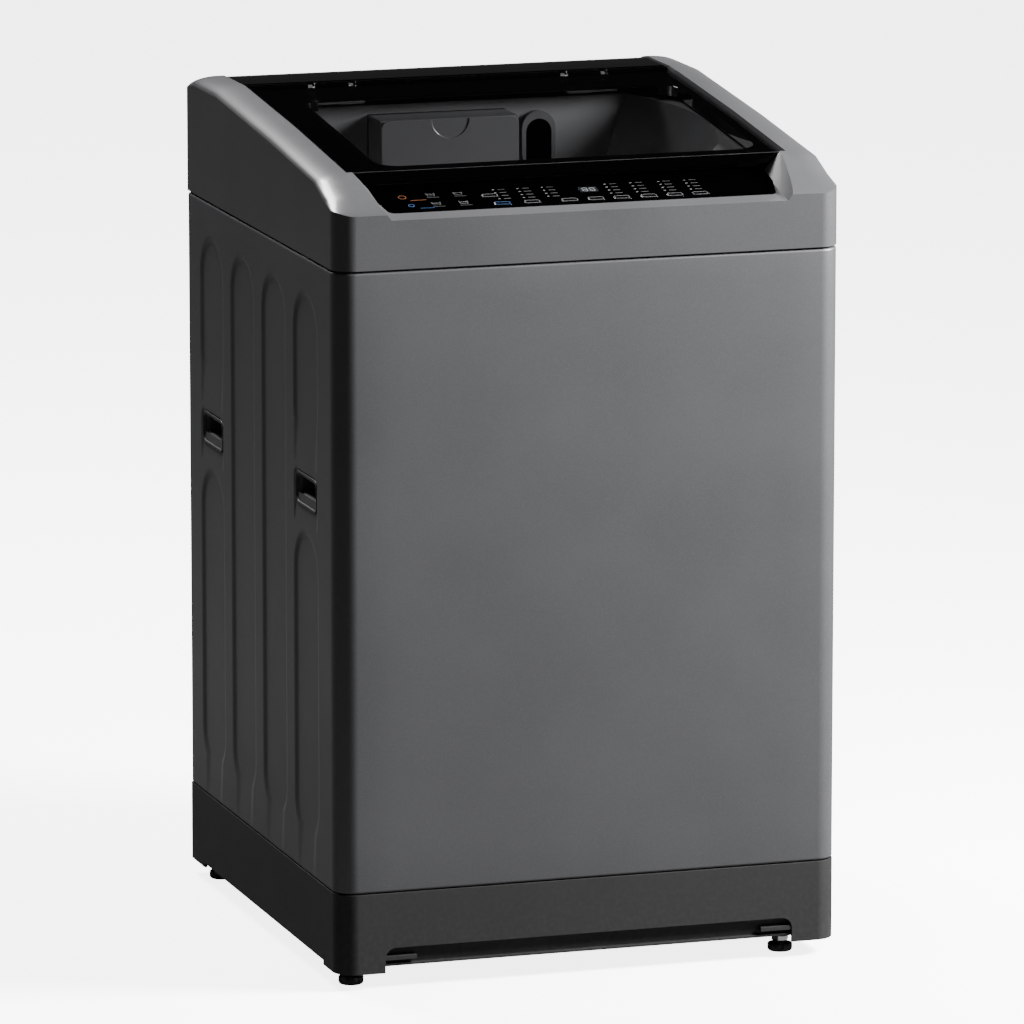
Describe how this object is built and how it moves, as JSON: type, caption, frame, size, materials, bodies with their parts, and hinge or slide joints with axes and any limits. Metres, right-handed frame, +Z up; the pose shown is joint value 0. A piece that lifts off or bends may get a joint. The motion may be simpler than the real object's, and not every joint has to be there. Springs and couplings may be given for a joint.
{
  "type": "top load washing machine",
  "caption": "Tall grey top-loading washing machine with a glass lid, sloping key strip, embossed sides, hanging tub, spinning basket and pulsator on a belt drive.",
  "frame": {"origin": "on the floor, at the middle of the machine's footprint", "axes": "+Z up, -Y to the front where the keys are, +X to the user's right"},
  "size_m": [0.58, 0.6, 0.934],
  "materials": {
    "grey_steel": "fine metallic satin paint",
    "galvanised_sheet": "dull zinc coated sheet",
    "zinc_steel": "bright zinc",
    "base_plastic": "fine grained dark plastic",
    "black_plastic": "matt black plastic",
    "foot_rubber": "matt hard rubber",
    "grey_cover": "metallic grey painted plastic",
    "gloss_black": "deep black gloss",
    "key_black": "black gloss with a fine pale outline",
    "display": "dark display window",
    "circuit_board": "green lacquered board",
    "smoked_glass": "clear smoked toughened glass",
    "grey_plastic": "light grey plastic",
    "white_plastic": "off white plastic",
    "dark_rubber": "matt rubber",
    "cast_aluminium": "as cast",
    "shaft_steel": "ground steel",
    "motor_steel": "dark enamel",
    "drain_plastic": "grey plastic",
    "stainless_steel": "brushed stainless steel"
  },
  "bodies": {
    "cabinet": {"cabinet_shell": "grey_steel", "back_panel": "galvanised_sheet", "service_cover": "galvanised_sheet", "back_screws": "zinc_steel", "base_frame": "base_plastic", "bottom_guard": "black_plastic", "grip_cups": "black_plastic", "foot_lock_nuts": "zinc_steel", "top_cover": "grey_cover", "rear_strip": "gloss_black", "control_panel": "gloss_black", "display_window": "display", "control_board": "circuit_board", "lid_hinge_pins": "zinc_steel", "hinge_brackets": "zinc_steel", "drawer_housing": "grey_plastic", "water_nozzle": "grey_plastic", "inlet_valve": "white_plastic", "corner_brackets": "galvanised_sheet", "suspension_rods": "zinc_steel", "suspension_springs": "zinc_steel", "spring_cups": "black_plastic", "drain_outlet": "dark_rubber", "drain_bellows": "dark_rubber", "cord_gland": "dark_rubber"},
    "tub": {"outer_tub": "white_plastic", "tub_ring": "white_plastic", "mounting_frame": "galvanised_sheet", "clutch_housing": "cast_aluminium", "shaft_bearings": "shaft_steel", "tub_seal": "dark_rubber", "motor_housing": "motor_steel", "drive_belt": "dark_rubber", "drain_valve": "drain_plastic"},
    "basket": {"basket_wall": "stainless_steel", "basket_base": "white_plastic", "balance_ring": "white_plastic", "spin_shaft": "shaft_steel", "filter_channel": "white_plastic"},
    "filter": {"lint_filter": "white_plastic"},
    "agitator": {"pulsator": "white_plastic", "wash_shaft": "shaft_steel"},
    "large_pulley": {"drive_pulley": "cast_aluminium"},
    "small_pulley": {"motor_pulley": "cast_aluminium"},
    "lid": {"lid_glass": "smoked_glass", "lid_frame": "gloss_black"},
    "drawer": {"detergent_drawer": "grey_plastic"},
    "button_power": {"key_power": "key_black"},
    "button_start": {"key_start": "key_black"},
    "button_program": {"key_program": "key_black"},
    "button_level": {"key_level": "key_black"},
    "button_wash": {"key_wash": "key_black"},
    "button_rinse": {"key_rinse": "key_black"},
    "button_spin": {"key_spin": "key_black"},
    "button_delay": {"key_delay": "key_black"},
    "button_air": {"key_air": "key_black"},
    "levelling_front_left": {"foot_front_left": "foot_rubber"},
    "levelling_front_right": {"foot_front_right": "foot_rubber"},
    "levelling_rear_left": {"foot_rear_left": "foot_rubber"},
    "levelling_rear_right": {"foot_rear_right": "foot_rubber"}
  },
  "joints": [
    {"name": "tub_bounce", "type": "slide", "parent": "cabinet", "child": "tub", "axis": [0, 0, 1], "range_m": [-0.02, 0.01], "stiffness_N_per_m": 14000, "springref_m": 0.018, "deforming": ["suspension_springs", "drain_bellows"]},
    {"name": "basket_spin", "type": "hinge", "parent": "tub", "child": "basket", "pos_m": [0, 0, 0.25], "axis": [0, 0, 1], "continuous": true},
    {"name": "pulsator_spin", "type": "hinge", "parent": "tub", "child": "agitator", "pos_m": [0, 0, 0.27], "axis": [0, 0, 1], "continuous": true},
    {"name": "large_pulley_spin", "type": "hinge", "parent": "tub", "child": "large_pulley", "pos_m": [0, 0, 0.069], "axis": [0, 0, 1], "continuous": true},
    {"name": "small_pulley_spin", "type": "hinge", "parent": "tub", "child": "small_pulley", "pos_m": [-0.16, 0, 0.069], "axis": [0, 0, 1], "continuous": true},
    {"name": "filter_tilt", "type": "hinge", "parent": "basket", "child": "filter", "pos_m": [0, 0.215, 0.476], "axis": [1, 0, 0], "range_deg": [0, 22]},
    {"name": "lid_hinge", "type": "hinge", "parent": "cabinet", "child": "lid", "pos_m": [0, 0.19, 0.9245], "axis": [-1, 0, 0], "range_deg": [0, 98]},
    {"name": "drawer_slide", "type": "slide", "parent": "cabinet", "child": "drawer", "axis": [0, -1, 0], "range_m": [0, 0.085]},
    {"name": "press_power", "type": "slide", "parent": "cabinet", "child": "button_power", "axis": [0, 0.2656, -0.9641], "range_m": [0, 0.0008], "stiffness_N_per_m": 700, "springref_m": -0.0012},
    {"name": "press_start", "type": "slide", "parent": "cabinet", "child": "button_start", "axis": [0, 0.2656, -0.9641], "range_m": [0, 0.0008], "stiffness_N_per_m": 700, "springref_m": -0.0012},
    {"name": "press_program", "type": "slide", "parent": "cabinet", "child": "button_program", "axis": [0, 0.2656, -0.9641], "range_m": [0, 0.0008], "stiffness_N_per_m": 700, "springref_m": -0.0012},
    {"name": "press_level", "type": "slide", "parent": "cabinet", "child": "button_level", "axis": [0, 0.2656, -0.9641], "range_m": [0, 0.0008], "stiffness_N_per_m": 700, "springref_m": -0.0012},
    {"name": "press_wash", "type": "slide", "parent": "cabinet", "child": "button_wash", "axis": [0, 0.2656, -0.9641], "range_m": [0, 0.0008], "stiffness_N_per_m": 700, "springref_m": -0.0012},
    {"name": "press_rinse", "type": "slide", "parent": "cabinet", "child": "button_rinse", "axis": [0, 0.2656, -0.9641], "range_m": [0, 0.0008], "stiffness_N_per_m": 700, "springref_m": -0.0012},
    {"name": "press_spin", "type": "slide", "parent": "cabinet", "child": "button_spin", "axis": [0, 0.2656, -0.9641], "range_m": [0, 0.0008], "stiffness_N_per_m": 700, "springref_m": -0.0012},
    {"name": "press_delay", "type": "slide", "parent": "cabinet", "child": "button_delay", "axis": [0, 0.2656, -0.9641], "range_m": [0, 0.0008], "stiffness_N_per_m": 700, "springref_m": -0.0012},
    {"name": "press_air", "type": "slide", "parent": "cabinet", "child": "button_air", "axis": [0, 0.2656, -0.9641], "range_m": [0, 0.0008], "stiffness_N_per_m": 700, "springref_m": -0.0012},
    {"name": "adjust_front_left", "type": "slide", "parent": "cabinet", "child": "levelling_front_left", "axis": [0, 0, -1], "range_m": [0, 0.01]},
    {"name": "adjust_front_right", "type": "slide", "parent": "cabinet", "child": "levelling_front_right", "axis": [0, 0, -1], "range_m": [0, 0.01]},
    {"name": "adjust_rear_left", "type": "slide", "parent": "cabinet", "child": "levelling_rear_left", "axis": [0, 0, -1], "range_m": [0, 0.01]},
    {"name": "adjust_rear_right", "type": "slide", "parent": "cabinet", "child": "levelling_rear_right", "axis": [0, 0, -1], "range_m": [0, 0.01]}
  ],
  "couplings": [
    {"joint": "large_pulley_spin", "follows": "pulsator_spin", "ratio": 4},
    {"joint": "small_pulley_spin", "follows": "pulsator_spin", "ratio": 8.75}
  ]
}
